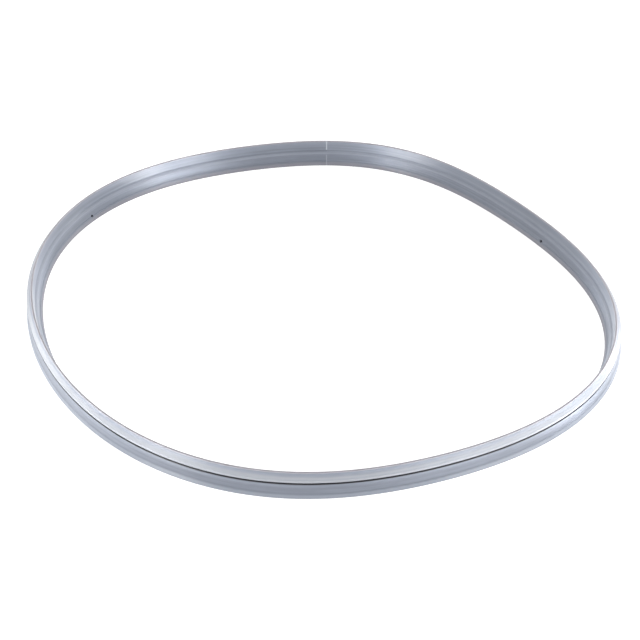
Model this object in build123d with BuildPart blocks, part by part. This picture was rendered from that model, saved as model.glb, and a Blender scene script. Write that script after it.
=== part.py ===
"""Sealing ring of a stovetop pressure cooker, lying limp on a flat surface.

One length of silicone lip profile is bent into a loop, and its two cut ends are bonded together.
Millimetres. +X is the loop's long way, +Z is up, and the origin is under the middle of the loop,
on the surface that both lips stand on.
"""
from build123d import *
from math import cos, degrees, radians, sin
import os

# The loop, as the crest line runs seen from above, clockwise from the splice.
# Each bend is a radius, as a share of the crest's radius in a ring held round, and the degrees it turns.
round_radius = 120.9
bend_shares = (
    (0.809, 41.2),
    (1.819, 22.5),
    (0.670, 80.9),
    (1.485, 31.8),
    (0.977, 40.2),
    (1.084, 50.2),
)
closing_turn = 67.7
splice_heading = 0.6
bond_thickness = 0.5

# Heights of the section, up from the surface
skirt_height = 7.35
slit_gap = 0.7
crown_height = 4.0
nose_thickness = 1.15
channel_height = 4.9
knee_height = 2.1
ledge_height = 2.35
foot_height = 1.9
toe_height = 0.4

# Heights down from the top of the skirt
shoulder_drop = 1.55
crease_drop = 0.5
crease_gap = 0.35

# Reaches of the section outward from the crest line
crest_outer_reach = 0.3
nose_reach = 2.25
skirt_edge_reach = 2.15
skirt_reach = 2.42
outer_toe_reach = 3.1

# Reaches of the section inward from the crest line
crest_inner_reach = 0.5
flare_reach = 1.05
crease_reach = 1.65
lip_reach = 2.35
ledge_reach = 2.8
foot_reach = 3.35
inner_toe_reach = 4.0

slit_depth = 2.35
crease_depth = 0.3
skirt_wall = 1.42
lip_wall = 1.6
outer_foot_width = 1.85
inner_foot_width = 2.4
flank_hollow_share = 1 / 3

# Roundings of the section, where 0 is a sharp corner
crest_round = 0.35
flank_round = 3.0
knee_round = 1.0

# The vent holes through the inner lip, evenly spaced round the loop
vent_diameter = 1.3
vent_height = 2.4
vent_count = 3

slit_top = skirt_height + slit_gap
crest_height = slit_top + crown_height
nose_top = slit_top + nose_thickness
flank_height = (crest_height + nose_top) / 2
flank_reach = crest_outer_reach + flank_hollow_share * (nose_reach - crest_outer_reach)
slit_root = skirt_edge_reach - slit_depth
shoulder_height = skirt_height - shoulder_drop
crease_top = skirt_height - crease_drop
crease_bottom = crease_top - crease_gap
crease_middle = (crease_top + crease_bottom) / 2

# Corners of the section, from the crest outward and round: reach, height, rounding
section_corners = (
    (crest_outer_reach, crest_height, crest_round),
    (flank_reach, flank_height, flank_round),
    (nose_reach, nose_top, 0),
    (nose_reach, slit_top, 0),
    (slit_root, slit_top, 0),
    (slit_root, skirt_height, 0),
    (skirt_edge_reach, skirt_height, 0),
    (skirt_reach, shoulder_height, 0),
    (skirt_reach, knee_height, knee_round),
    (outer_toe_reach, toe_height, 0),
    (outer_toe_reach, 0, 0),
    (outer_toe_reach - outer_foot_width, 0, 0),
    (skirt_reach - skirt_wall, channel_height, 0),
    (lip_wall - lip_reach, channel_height, 0),
    (inner_foot_width - inner_toe_reach, 0, 0),
    (-inner_toe_reach, 0, 0),
    (-inner_toe_reach, toe_height, 0),
    (-foot_reach, foot_height, 0),
    (-ledge_reach, ledge_height, 0),
    (-lip_reach, shoulder_height, 0),
    (-crease_reach, crease_bottom, 0),
    (crease_depth - crease_reach, crease_middle, 0),
    (-crease_reach, crease_top, 0),
    (-flare_reach, skirt_height, 0),
    (-crest_inner_reach, crest_height, crest_round),
)


def bend_chord(heading, turn):
    """Chord of a bend of radius 1 that sets off on that heading and turns clockwise."""
    middle = radians(heading - turn / 2)
    return Vector(cos(middle), sin(middle)) * (2 * sin(radians(turn / 2)))


def loop_bends():
    """Radius and turn of every bend, where the last two radii bring the loop back to its start."""
    bends = [(share * round_radius, turn) for share, turn in bend_shares]
    heading = splice_heading
    reached = Vector(0, 0)
    for radius, turn in bends:
        reached += bend_chord(heading, turn) * radius
        heading -= turn
    last_turn = heading - closing_turn - (splice_heading - 360)
    closing_chord = bend_chord(heading, closing_turn)
    last_chord = bend_chord(heading - closing_turn, last_turn)
    spread = closing_chord.cross(last_chord).Z
    closing_radius = last_chord.cross(reached).Z / spread
    last_radius = reached.cross(closing_chord).Z / spread
    return bends + [(closing_radius, closing_turn), (last_radius, last_turn)]


def crest_line(start, heading, bends):
    """Tangent arcs on the surface, under the crest, clockwise from a point."""
    ahead = Vector(cos(radians(heading)), sin(radians(heading)))
    with BuildLine() as line:
        for radius, turn in bends:
            bend = JernArc(start=start, tangent=ahead, radius=radius, arc_size=-turn)
            start = bend @ 1
            ahead = bend % 1
    return line.wires()[0]


def section_plane(path, distance):
    """The plane across the strip there: its X points out of the loop and its Y points up."""
    heading = path.tangent_at(distance, position_mode=PositionMode.LENGTH)
    spot = path.position_at(distance, position_mode=PositionMode.LENGTH)
    return Plane(origin=spot, x_dir=Vector(0, 0, 1).cross(heading), z_dir=heading)


def seal_section(path):
    with BuildSketch(section_plane(path, 0)) as section:
        with BuildLine():
            FilletPolyline(
                [(reach, rise) for reach, rise, _ in section_corners],
                radius=[rounding for _, _, rounding in section_corners],
                close=True,
            )
        make_face()
    return section.sketch


all_bends = loop_bends()
last_radius, last_turn = all_bends[-1]
bond_turn = degrees(bond_thickness / last_radius)
strip_bends = all_bends[:-1] + [(last_radius, last_turn - bond_turn)]

# The loop is set round the middle of its own outline
loop_middle = crest_line((0, 0), splice_heading, all_bends).bounding_box().center()
strip_path = crest_line(-loop_middle, splice_heading, strip_bends)
bond_path = crest_line(strip_path @ 1, splice_heading + bond_turn, [(last_radius, bond_turn)])

with BuildPart() as seal_strip:
    sweep(seal_section(strip_path), path=strip_path)
    for place in range(vent_count):
        across = section_plane(strip_path, strip_path.length * (place + 1 / 2) / vent_count)
        mouth = across.from_local_coords((-inner_toe_reach, vent_height))
        with Locations(Plane(origin=mouth, x_dir=across.z_dir, z_dir=-across.x_dir)):
            Hole(radius=vent_diameter / 2, depth=inner_toe_reach)

with BuildPart() as splice_bond:
    sweep(seal_section(bond_path), path=bond_path)

seal_strip.part.label = "seal_strip"
splice_bond.part.label = "splice_bond"

os.makedirs("parts", exist_ok=True)
export_step(seal_strip.part, "parts/seal_strip.step")
export_step(splice_bond.part, "parts/splice_bond.step")
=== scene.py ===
"""A pressure cooker's sealing ring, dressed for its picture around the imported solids. Metres, +Z up.

The ring is modelled as it is made: a straight length of lip profile, punched with its vents, is bent
into a loop, and a thin bond closes it. Its finish follows where each point was in the straight strip.
"""
from math import cos, pi, radians, sin, tan

import bpy
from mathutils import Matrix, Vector


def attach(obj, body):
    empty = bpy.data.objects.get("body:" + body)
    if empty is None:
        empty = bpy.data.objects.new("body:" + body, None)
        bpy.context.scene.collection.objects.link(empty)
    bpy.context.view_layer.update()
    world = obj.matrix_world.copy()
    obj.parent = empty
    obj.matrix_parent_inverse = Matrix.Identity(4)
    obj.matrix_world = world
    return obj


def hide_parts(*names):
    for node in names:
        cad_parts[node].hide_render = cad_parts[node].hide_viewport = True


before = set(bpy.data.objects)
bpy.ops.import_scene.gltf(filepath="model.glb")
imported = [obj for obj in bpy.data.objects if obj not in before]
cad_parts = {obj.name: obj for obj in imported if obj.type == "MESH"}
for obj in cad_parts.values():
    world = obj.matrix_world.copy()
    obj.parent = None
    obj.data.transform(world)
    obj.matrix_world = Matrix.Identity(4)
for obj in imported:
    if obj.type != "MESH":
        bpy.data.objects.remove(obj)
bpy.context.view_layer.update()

MM = 0.001

# The loop's crest seen from above: its radius if held round, and its middle from the pole of its angles
ROUND_RADIUS = 120.9 * MM
LOOP_MIDDLE = Vector((2.05, 0.56, 0)) * MM

# What makes the loop irregular: how often each wave comes round, and its cosine's and sine's shares
LOOP_WAVE_SHARES = (
    (2, 0.0593, -0.0328),
    (3, 0.0089, -0.0080),
    (4, 0.0060, -0.0226),
    (5, 0.0058, -0.0034),
)
POLE_RADIUS_SHARE = 0.9929
SPLICE_ANGLE = radians(87.3)
BOND_THICKNESS = 0.5 * MM

# The curve through the loop's stations, whose direction is read between points a nudge to each side
LOOP_STATIONS = 36
LOOP_RESOLUTION = 24
HANDLE_SHARE = 1 / 3
NUDGE_SHARE = 0.01

# The section: reach out from the crest, height and rounding of each corner, all in millimetres
SECTION_CORNERS = (
    (0.3, 12.05, 0.3),
    (0.95, 10.6, 3.0),
    (2.25, 9.2, 0.3),
    (2.25, 8.05, 0.15),
    (-0.2, 8.05, 0.1),
    (-0.2, 7.35, 0.1),
    (2.15, 7.35, 0.25),
    (2.42, 5.8, 3.0),
    (2.4, 2.1, 1.0),
    (3.1, 0.4, 0.2),
    (3.1, 0.0, 0.15),
    (1.25, 0.0, 0.2),
    (1.0, 4.9, 0.7),
    (-0.75, 4.9, 0.7),
    (-1.6, 0.0, 0.2),
    (-4.0, 0.0, 0.15),
    (-3.95, 0.35, 0.2),
    (-3.35, 1.9, 0.3),
    (-2.8, 2.35, 0.3),
    (-2.35, 5.8, 1.0),
    (-1.7, 6.5, 0.2),
    (-1.35, 6.62, 0.1),
    (-1.6, 6.85, 0.15),
    (-1.05, 7.35, 0.8),
    (-0.5, 12.05, 0.35),
)
EDGE_SEGMENTS = 4
SAME_SPOT = 0.001 * MM
SMOOTH_BELOW = radians(35)

# The straight strip is cut across twice over, because one pass takes 100 cuts at most
CUT_PASSES = 2
STRIP_CUTS = 15
BOND_CUTS = 1

VENT_RADIUS = 0.65 * MM
VENT_HEIGHT = 2.4 * MM
VENT_COUNT = 3
VENT_SIDES = 32

# Colours of the rubber, with its painted light and painted shade, and of the cured bond
GREY = (0.156, 0.172, 0.210, 1)
PALE_GREY = (0.216, 0.236, 0.281, 1)
# Painted light on the outer crown, paler where light falls on its upward flank
CROWN_PAINTED_LIGHT = (0.33, 0.345, 0.375, 1)
# Painted highlight along the crest
CREST_PAINTED_HIGHLIGHT = (0.310, 0.302, 0.332, 1)
# Painted light on the inner shoulder, which faces up
SHOULDER_PAINTED_LIGHT = (0.262, 0.284, 0.332, 1)
# Painted light on the feet of the inner lip and of the skirt
LIP_FOOT_PAINTED_LIGHT = (0.235, 0.236, 0.268, 1)
SKIRT_FOOT_PAINTED_LIGHT = (0.280, 0.305, 0.355, 1)
# Painted shade on the walls deep in the slit and in the vents
PAINTED_SHADE_GREY = (0.035, 0.036, 0.042, 1)
BOND_GREY = (0.40, 0.43, 0.47, 1)

# Patterns in the rubber: lumps to the metre along, across and up the strip, then detail and roughness
DIE_LINES = ((9, 1400, 1400), 3, 0.5)
LONG_STREAKS = ((7, 330, 330), 2, 0.5)
BLOOM = ((60, 420, 420), 3, 0.6)
GRAIN = ((2600, 2600, 2600), 2, 0.5)
PATTERN_MIDDLE = 0.5

# How much of each pattern is in the rubber's tone, in its dullness and in its relief
DIE_LINE_TONE = 0.4
STREAK_TONE = 0.35
BLOOM_TONE = 0.25
TONE_SPAN = (0.35, 0.65)
# How much the painted light on crown and shoulder rises above the tone
PAINTED_LIGHT_LIFT = 0.3
RUBBER_ROUGHNESS = 0.38
BLOOM_DULLNESS = 0.12
DIE_LINE_DULLNESS = 0.08
LIP_DULLNESS = 0.14
DIE_LINE_RELIEF = 0.6
GRAIN_RELIEF = 0.25
BLOOM_RELIEF = 0.15
RELIEF_STRENGTH = 0.1
RELIEF_DEPTH = 0.1 * MM

# The gloss of drawn rubber, stretched along the strip
RUBBER_IOR = 1.43
GLOSS_STRETCH = 0.8
GLOSS_TURN = 0.25

# Spans of reach and of height in the section, from where a finish starts to where it is full
OUTER_REACH = (0.7 * MM, 1.5 * MM)
INNER_REACH = (0.7 * MM, 0)
CROWN_HEIGHT = (7.7 * MM, 8.2 * MM)
CREST_HEIGHT = (11.5 * MM, 12.0 * MM)
FOOT_HEIGHT = (2.1 * MM, 1.2 * MM)
LIP_HEIGHT = (7.0 * MM, 6.6 * MM)
BOND_CROWN_HEIGHT = (7.2 * MM, 7.8 * MM)
BOND_LIP_HEIGHT = (5.8 * MM, 5.0 * MM)
BOND_LIP_SHARE = 0.45
SLIT_MOUTH_REACH = (2.27 * MM, 2.17 * MM)
SLIT_ROOT_REACH = (-0.6 * MM, -0.3 * MM)

# Middles in the section, each with the span of the distance from it
SHOULDER_MIDDLE = 6.25 * MM
OFF_SHOULDER = (0.6 * MM, 0.35 * MM)
SLIT_MIDDLE = 7.7 * MM
OFF_SLIT = (0.72 * MM, 0.6 * MM)
VENT_WALL_MIDDLE = -2.0 * MM
OFF_VENT_WALL = (0.7 * MM, 0.5 * MM)
OFF_VENT = (0.9 * MM, 0.75 * MM)

# The photograph's camera
CAMERA_PLACE = Vector((-0.17, -612.0, 520.4)) * MM
CAMERA_PITCH = radians(40.714)
CAMERA_LENS = 100.9
CAMERA_NEAR = 10 * MM

# Softboxes: degrees round to the right from the camera, degrees up, metres away, wide and tall, watts
SOFTBOXES = (
    ("left_front_softbox", -46, 9, 0.5, 0.16, 0.12, 1.0),
    ("left_high_softbox", -46, 28, 0.5, 0.2, 0.16, 0.35),
    ("left_side_softbox", -95, 6, 0.5, 0.35, 0.11, 1.3),
    ("right_front_softbox", 49, 13, 0.5, 0.25, 0.2, 1.75),
    ("right_side_softbox", 110, 14, 0.5, 0.12, 0.2, 1.65),
    ("top_softbox", 0, 85, 0.8, 0.4, 0.4, 1.4),
    ("back_left_softbox", -150, 25, 0.6, 0.4, 0.2, 1.5),
    ("back_right_softbox", 150, 25, 0.6, 0.4, 0.2, 1.4),
)

# Light panels on the table: degrees round the ring, millimetres inside its crest and across, watts
TABLE_PANELS = (
    ("right_inner_panel", 358, 28, 36, 0.013),
    ("far_right_panel", 71, 20, 18, 0.0112),
    ("far_middle_panel", 121, 21, 20, 0.0074),
    ("far_left_panel", 130, 20, 16, 0.0145),
    ("left_inner_panel", 173, 28, 36, 0.018),
    ("left_end_inner_panel", 196, 26, 30, 0.022),
    ("right_end_inner_panel", 340, 26, 30, 0.022),
    ("left_end_panel", 192, -60, 70, 0.07),
    ("left_outer_panel", 213, -90, 100, 0.36),
    ("near_left_panel", 233, -90, 100, 0.40),
    ("near_middle_panel", 260, -90, 100, 0.14),
    ("near_right_panel", 297, -90, 120, 0.34),
    ("right_outer_panel", 325, -45, 60, 0.13),
    ("right_end_panel", 345, -45, 60, 0.10),
)
PANEL_LIFT = 0.3 * MM

# The floor as it is seen, a shade for the shadow with a white glow, and as it throws light up
WHITE = (1, 1, 1, 1)
FLOOR_SIZE = 8.0
SEEN_FLOOR_SHADE = (0.35, 0.35, 0.35, 1)
SEEN_FLOOR_GLOW = 0.92
LIT_FLOOR_COLOUR = (0.8, 0.8, 0.8, 1)


def start_fresh():
    """Out of edit mode with nothing selected, because operators act on all that is selected."""
    if bpy.context.mode != "OBJECT":
        bpy.ops.object.mode_set(mode="OBJECT")
    bpy.ops.object.select_all(action="DESELECT")


def choose(piece):
    """Makes one piece the only selected one, and the active one."""
    start_fresh()
    bpy.context.view_layer.objects.active = piece
    piece.select_set(True)


def pick(mesh, chosen):
    """Selects the chosen vertices, by number, in edit mode."""
    bpy.ops.mesh.select_all(action="DESELECT")
    bpy.ops.object.mode_set(mode="OBJECT")
    for number in chosen:
        mesh.vertices[number].select = True
    bpy.ops.object.mode_set(mode="EDIT")


def apply_all(piece):
    """Applies a piece's modifiers, first to last."""
    choose(piece)
    for modifier in list(piece.modifiers):
        bpy.ops.object.modifier_apply(modifier=modifier.name)


def turn_at(corner, before, after):
    """How sharply the outline turns at a corner."""
    come = Vector(corner[:2]) - Vector(before[:2])
    go = Vector(after[:2]) - Vector(corner[:2])
    return come.angle(go)


def section_face(name):
    """The section as one flat face across X: a disc whose points go to the corners, then get rounded."""
    start_fresh()
    count = len(SECTION_CORNERS)
    bpy.ops.mesh.primitive_circle_add(vertices=count, radius=MM, fill_type="NGON")
    piece = bpy.context.object
    piece.name = piece.data.name = name
    bpy.ops.object.mode_set(mode="EDIT")
    bpy.ops.mesh.select_mode(type="VERT")
    for number, (reach, height, _) in enumerate(SECTION_CORNERS):
        pick(piece.data, [number])
        here = piece.data.vertices[number].co
        goal = Vector((0, reach * MM, height * MM))
        bpy.ops.transform.translate(value=goal - here)
    for number in reversed(range(count)):
        corner = SECTION_CORNERS[number]
        before = SECTION_CORNERS[number - 1]
        after = SECTION_CORNERS[(number + 1) % count]
        offset = corner[2] * MM * tan(turn_at(corner, before, after) / 2)
        bpy.ops.object.mode_set(mode="OBJECT")
        spot = Vector((0, corner[0] * MM, corner[1] * MM))
        found = [v.index for v in piece.data.vertices if (v.co - spot).length < SAME_SPOT]
        bpy.ops.object.mode_set(mode="EDIT")
        pick(piece.data, found)
        bpy.ops.mesh.bevel(offset=offset, segments=EDGE_SEGMENTS, affect="VERTICES", clamp_overlap=True)
    bpy.ops.object.mode_set(mode="OBJECT")
    return piece


def cut_across(mesh, cuts):
    """Cuts every edge that runs along the strip, in edit mode."""
    bpy.ops.mesh.select_mode(type="EDGE")
    bpy.ops.mesh.select_all(action="DESELECT")
    bpy.ops.object.mode_set(mode="OBJECT")
    for edge in mesh.edges:
        one, other = (mesh.vertices[number].co for number in edge.vertices)
        edge.select = abs(one.x - other.x) > (one - other).length / 2
    bpy.ops.object.mode_set(mode="EDIT")
    bpy.ops.mesh.subdivide(number_cuts=cuts)


def straight_strip(name, start, length, cuts):
    """The section pushed out straight along X and cut across, so that it can bend."""
    piece = section_face(name)
    choose(piece)
    bpy.ops.object.mode_set(mode="EDIT")
    bpy.ops.mesh.select_all(action="SELECT")
    bpy.ops.transform.translate(value=(start, 0, 0))
    bpy.ops.mesh.extrude_region_move(TRANSFORM_OT_translate={"value": (length, 0, 0)})
    bpy.ops.mesh.select_all(action="SELECT")
    bpy.ops.mesh.normals_make_consistent(inside=False)
    for _ in range(CUT_PASSES):
        cut_across(piece.data, cuts)
    bpy.ops.object.mode_set(mode="OBJECT")
    return piece


def punch_vents(strip, length):
    """Round holes through the inner lip, into the channel behind it."""
    inner_toe = min(corner[0] for corner in SECTION_CORNERS) * MM
    for place in range(VENT_COUNT):
        start_fresh()
        bpy.ops.mesh.primitive_cylinder_add(
            vertices=VENT_SIDES,
            radius=VENT_RADIUS,
            depth=-inner_toe,
            location=(length * (place + 0.5) / VENT_COUNT, inner_toe / 2, VENT_HEIGHT),
            rotation=(pi / 2, 0, 0),
        )
        punch = bpy.context.object
        cut = strip.modifiers.new("vent", "BOOLEAN")
        cut.operation = "DIFFERENCE"
        cut.solver = "EXACT"
        cut.object = punch
        apply_all(strip)
        bpy.data.objects.remove(punch)


def keep_laid_out(piece):
    """Keeps where each point was in the straight strip, for the finish that runs along it."""
    laid_out = piece.data.attributes.new("laid_out", "FLOAT_VECTOR", "POINT")
    for number, point in enumerate(piece.data.vertices):
        laid_out.data[number].vector = point.co


def crest_point(angle):
    """A point of the crest line, seen from above, at an angle round the loop's pole."""
    share = 1
    for wave, cos_share, sin_share in LOOP_WAVE_SHARES:
        share += cos_share * cos(wave * angle) + sin_share * sin(wave * angle)
    reach = ROUND_RADIUS * POLE_RADIUS_SHARE * share
    return Vector((reach * cos(angle), reach * sin(angle), 0)) - LOOP_MIDDLE


def loop_curve():
    """The closed line that the strip is laid along, clockwise seen from above.

    A strip starts at a closed curve's last point, so that point is at the splice.
    """
    start_fresh()
    bpy.ops.curve.primitive_bezier_circle_add(radius=ROUND_RADIUS)
    loop = bpy.context.object
    loop.name = "loop_line"
    spline = loop.data.splines[0]
    spline.bezier_points.add(LOOP_STATIONS - len(spline.bezier_points))
    step = -2 * pi / LOOP_STATIONS
    nudge = step * NUDGE_SHARE
    for number, point in enumerate(spline.bezier_points):
        angle = SPLICE_ANGLE + step * (number + 1)
        here = crest_point(angle)
        over_two_nudges = crest_point(angle + nudge) - crest_point(angle - nudge)
        pull = over_two_nudges * (HANDLE_SHARE / (2 * NUDGE_SHARE))
        point.handle_left_type = point.handle_right_type = "FREE"
        point.co = here
        point.handle_left = here - pull
        point.handle_right = here + pull
    loop.data.twist_mode = "Z_UP"
    loop.data.resolution_u = LOOP_RESOLUTION
    return loop


def line_length(loop):
    """Length of a closed curve, measured on the mesh that Blender makes of it."""
    mesh = bpy.data.meshes.new_from_object(loop)
    total = 0
    for edge in mesh.edges:
        one, other = (mesh.vertices[number].co for number in edge.vertices)
        total += (one - other).length
    bpy.data.meshes.remove(mesh)
    return total


def lay_along(piece, loop):
    """Bends a straight piece along the loop, and smooths its round faces."""
    lay = piece.modifiers.new("lay", "CURVE")
    lay.object = loop
    lay.deform_axis = "POS_X"
    apply_all(piece)
    bpy.ops.object.shade_smooth_by_angle(angle=SMOOTH_BELOW)
    even = piece.modifiers.new("even", "WEIGHTED_NORMAL")
    even.keep_sharp = True
    apply_all(piece)


class Wire:
    """A value in a node tree: sums and products on it add the Math nodes that work them out."""

    def __init__(self, finish, socket):
        self.finish = finish
        self.socket = socket

    def math(self, operation, *terms):
        return self.finish.node("ShaderNodeMath", {"operation": operation}, dict(enumerate(terms)))

    def __add__(self, other):
        return self.math("ADD", self, other)

    def __sub__(self, other):
        return self.math("SUBTRACT", self, other)

    def __rsub__(self, other):
        return self.math("SUBTRACT", other, self)

    def __mul__(self, other):
        return self.math("MULTIPLY", self, other)

    __radd__ = __add__
    __rmul__ = __mul__

    def most(self, other):
        return self.math("MAXIMUM", self, other)

    def off(self, middle):
        """How far the value lies from a middle, to either side."""
        return self.math("ABSOLUTE", self - middle)

    def ease(self, span):
        """Goes smoothly from 0 at the start of a span to 1 at its end, which may be the lower of them."""
        start, end = span
        sockets = {"Value": self, "From Min": start, "From Max": end}
        return self.finish.node("ShaderNodeMapRange", {"interpolation_type": "SMOOTHSTEP"}, sockets)


class Finish:
    """A material or world, and the one method that adds a node to it."""

    def __init__(self, owner):
        owner.use_nodes = True
        self.tree = owner.node_tree
        self.tree.nodes.clear()

    def node(self, kind, settings, sockets, output=0):
        """Adds a node: its settings first, then the values or wires of its sockets."""
        added = self.tree.nodes.new(kind)
        for setting, value in settings.items():
            setattr(added, setting, value)
        for name, value in sockets.items():
            if isinstance(value, Wire):
                self.tree.links.new(value.socket, added.inputs[name])
            else:
                added.inputs[name].default_value = value
        return Wire(self, added.outputs[output]) if len(added.outputs) else None

    def blend(self, share, one, other):
        """A colour between two colours."""
        sockets = {0: share, 6: one, 7: other}
        return self.node("ShaderNodeMix", {"data_type": "RGBA"}, sockets, output=2)

    def seen_share(self):
        """1 for the rays that show the background: the camera's, and those off gloss or through glass."""
        kinds = ("Is Camera Ray", "Is Glossy Ray", "Is Transmission Ray")
        camera, glossy, through = (
            self.node("ShaderNodeLightPath", {}, {}, output=kind) for kind in kinds
        )
        return camera.most(glossy).most(through)


class Rubber(Finish):
    """A rubber material, with its patterns and each point's reach and height in the straight strip."""

    def __init__(self, owner):
        super().__init__(owner)
        place = self.node("ShaderNodeAttribute", {"attribute_name": "laid_out"}, {}, output="Vector")
        self.reach = self.node("ShaderNodeSeparateXYZ", {}, {"Vector": place}, output="Y")
        self.height = self.node("ShaderNodeSeparateXYZ", {}, {"Vector": place}, output="Z")
        self.die_lines = self.pattern(place, *DIE_LINES)
        self.long_streaks = self.pattern(place, *LONG_STREAKS)
        self.bloom = self.pattern(place, *BLOOM)
        self.grain = self.pattern(place, *GRAIN)

    def pattern(self, place, stretch, detail, roughness):
        """Soft noise from 0 to 1, stretched along each axis."""
        stretched = self.node("ShaderNodeVectorMath", {"operation": "MULTIPLY"}, {0: place, 1: stretch})
        sockets = {"Vector": stretched, "Scale": 1.0, "Detail": detail, "Roughness": roughness}
        return self.node("ShaderNodeTexNoise", {}, sockets)

    def painted_slit_shade(self):
        """1 on the walls deep in the slit, where shade is painted dark."""
        between_lips = self.height.off(SLIT_MIDDLE).ease(OFF_SLIT)
        return between_lips * self.reach.ease(SLIT_MOUTH_REACH) * self.reach.ease(SLIT_ROOT_REACH)

    def painted_vent_shade(self):
        """1 on the walls of the vents, inside the lip, where shade is painted dark."""
        within_lip = self.reach.off(VENT_WALL_MIDDLE).ease(OFF_VENT_WALL)
        return within_lip * self.height.off(VENT_HEIGHT).ease(OFF_VENT)

    def colour(self):
        """Blue-grey and paler in die lines, with painted light on crown, crest, shoulder and feet and
        painted shade in slit and vents.
        """
        tone = self.die_lines * DIE_LINE_TONE + self.long_streaks * STREAK_TONE + self.bloom * BLOOM_TONE
        outward = self.reach.ease(OUTER_REACH)
        inward = 1 - outward
        crown = outward * self.height.ease(CROWN_HEIGHT)
        shoulder = self.height.off(SHOULDER_MIDDLE).ease(OFF_SHOULDER) * inward
        foot = self.height.ease(FOOT_HEIGHT)
        colour = self.blend(tone.ease(TONE_SPAN), GREY, PALE_GREY)
        for share, tint in (
            # Painted light on the crown, stronger where the tone is paler
            (crown * (tone + PAINTED_LIGHT_LIFT), CROWN_PAINTED_LIGHT),
            # Painted light on the shoulder, stronger where the tone is paler
            (shoulder * (tone + PAINTED_LIGHT_LIFT), SHOULDER_PAINTED_LIGHT),
            # Painted highlight along the crest
            (self.height.ease(CREST_HEIGHT), CREST_PAINTED_HIGHLIGHT),
            # Painted light on the feet
            (foot * inward, LIP_FOOT_PAINTED_LIGHT),
            (foot * outward, SKIRT_FOOT_PAINTED_LIGHT),
            # Painted shade in the slit and the vents
            (self.painted_slit_shade().most(self.painted_vent_shade()), PAINTED_SHADE_GREY),
        ):
            colour = self.blend(share, colour, tint)
        return colour

    def surface(self, colour):
        """Semi-gloss rubber, with its patterns in gloss and relief, and duller on the inner lip."""
        lip = self.height.ease(LIP_HEIGHT) * self.reach.ease(INNER_REACH)
        bloom_dulls = (self.bloom - PATTERN_MIDDLE) * BLOOM_DULLNESS
        die_lines_dull = (self.die_lines - PATTERN_MIDDLE) * DIE_LINE_DULLNESS
        roughness = RUBBER_ROUGHNESS + bloom_dulls + die_lines_dull + lip * LIP_DULLNESS
        relief = self.die_lines * DIE_LINE_RELIEF + self.grain * GRAIN_RELIEF + self.bloom * BLOOM_RELIEF
        bump = self.node(
            "ShaderNodeBump",
            {},
            {"Strength": RELIEF_STRENGTH, "Distance": RELIEF_DEPTH, "Height": relief},
        )
        surface = self.node(
            "ShaderNodeBsdfPrincipled",
            {},
            {
                "Base Color": colour,
                "Roughness": roughness,
                "IOR": RUBBER_IOR,
                "Anisotropic": GLOSS_STRETCH,
                "Anisotropic Rotation": GLOSS_TURN,
                "Normal": bump,
            },
        )
        self.node("ShaderNodeOutputMaterial", {}, {"Surface": surface})


def silicone_finish():
    """The strip's grey silicone rubber."""
    material = bpy.data.materials.new("silicone")
    rubber = Rubber(material)
    rubber.surface(rubber.colour())
    return material


def bond_finish():
    """The cured bond: pale over the crown, hardly seen at the shoulder, and faint down the lip."""
    material = bpy.data.materials.new("bond")
    rubber = Rubber(material)
    crown = rubber.height.ease(BOND_CROWN_HEIGHT)
    lip = rubber.height.ease(BOND_LIP_HEIGHT) * BOND_LIP_SHARE
    rubber.surface(rubber.blend(crown.most(lip), rubber.colour(), BOND_GREY))
    return material


def white_floor():
    """A floor that looks white, also in reflections, keeps the ring's shadow and throws light up."""
    start_fresh()
    bpy.ops.mesh.primitive_plane_add(size=FLOOR_SIZE)
    floor = bpy.context.object
    floor.name = "floor"
    material = bpy.data.materials.new("white_floor")
    finish = Finish(material)
    shade = finish.node("ShaderNodeBsdfDiffuse", {}, {"Color": SEEN_FLOOR_SHADE})
    glow = finish.node("ShaderNodeEmission", {}, {"Color": WHITE, "Strength": SEEN_FLOOR_GLOW})
    seen = finish.node("ShaderNodeAddShader", {}, {0: shade, 1: glow})
    lit = finish.node("ShaderNodeBsdfDiffuse", {}, {"Color": LIT_FLOOR_COLOUR})
    surface = finish.node("ShaderNodeMixShader", {}, {0: finish.seen_share(), 1: lit, 2: seen})
    finish.node("ShaderNodeOutputMaterial", {}, {"Surface": surface})
    floor.data.materials.append(material)


def white_surroundings():
    """White all round to the camera and in reflections, and dark to every other ray."""
    world = bpy.data.worlds.new("white_surroundings")
    finish = Finish(world)
    sockets = {"Color": WHITE, "Strength": finish.seen_share()}
    surface = finish.node("ShaderNodeBackground", {}, sockets)
    finish.node("ShaderNodeOutputWorld", {}, {"Surface": surface})
    bpy.context.scene.world = world


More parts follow.
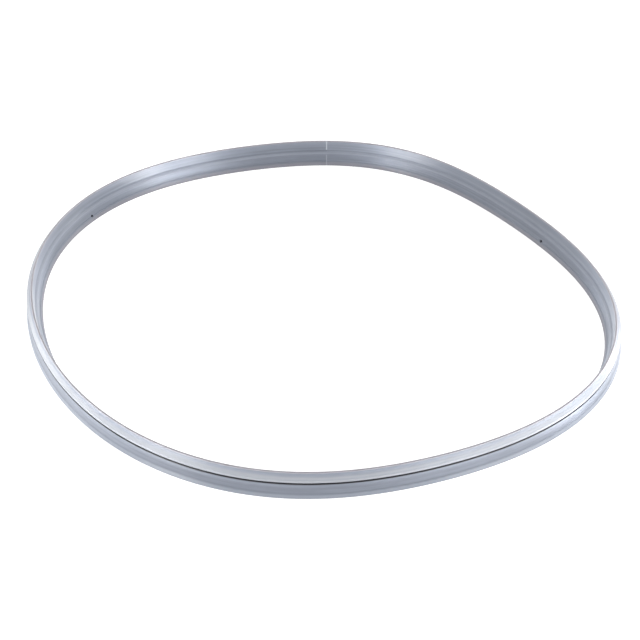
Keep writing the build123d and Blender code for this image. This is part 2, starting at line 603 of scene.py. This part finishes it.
def softbox(name, turn, height, distance, width, tallness, power):
    """A soft lamp that looks at the ring's middle."""
    start_fresh()
    turn = radians(turn)
    height = radians(height)
    ahead = Vector((sin(turn) * cos(height), -cos(turn) * cos(height), sin(height)))
    bpy.ops.object.light_add(type="AREA", location=ahead * distance)
    lamp = bpy.context.object
    lamp.name = name
    lamp.rotation_euler = ahead.to_track_quat("Z", "Y").to_euler()
    lamp.data.shape = "RECTANGLE"
    lamp.data.size = width
    lamp.data.size_y = tallness
    lamp.data.energy = power
    lamp.visible_camera = False


def table_panel(name, angle, inset, size, power):
    """A round light panel that lies on the table by the ring, and shines up from below its lips."""
    start_fresh()
    crest = crest_point(radians(angle))
    spot = crest * (1 - inset * MM / crest.length) + Vector((0, 0, PANEL_LIFT))
    bpy.ops.object.light_add(type="AREA", location=spot, rotation=(pi, 0, 0))
    lamp = bpy.context.object
    lamp.name = name
    lamp.data.shape = "DISK"
    lamp.data.size = size * MM
    lamp.data.energy = power
    lamp.visible_camera = False


def photograph_camera():
    """The camera where the photograph was taken from."""
    start_fresh()
    bpy.ops.object.camera_add(location=CAMERA_PLACE, rotation=(pi / 2 - CAMERA_PITCH, 0, 0))
    camera = bpy.context.object
    camera.data.lens = CAMERA_LENS
    camera.data.clip_start = CAMERA_NEAR
    bpy.context.scene.camera = camera


photograph_camera()

loop = loop_curve()
strip_length = line_length(loop) - BOND_THICKNESS

seal_strip = straight_strip("silicone_strip", 0, strip_length, STRIP_CUTS)
punch_vents(seal_strip, strip_length)
splice_bond = straight_strip("bond_film", strip_length, BOND_THICKNESS, BOND_CUTS)

for piece, node, slot, material in (
    (seal_strip, "seal_strip", "silicone", silicone_finish()),
    (splice_bond, "splice_bond", "bond", bond_finish()),
):
    keep_laid_out(piece)
    lay_along(piece, loop)
    piece.data.materials.append(material)
    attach(piece, "root")
    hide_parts(node)
bpy.data.objects.remove(loop)

white_floor()
white_surroundings()
for lamp in SOFTBOXES:
    softbox(*lamp)
for lamp in TABLE_PANELS:
    table_panel(*lamp)
bpy.context.scene.view_settings.view_transform = "Standard"
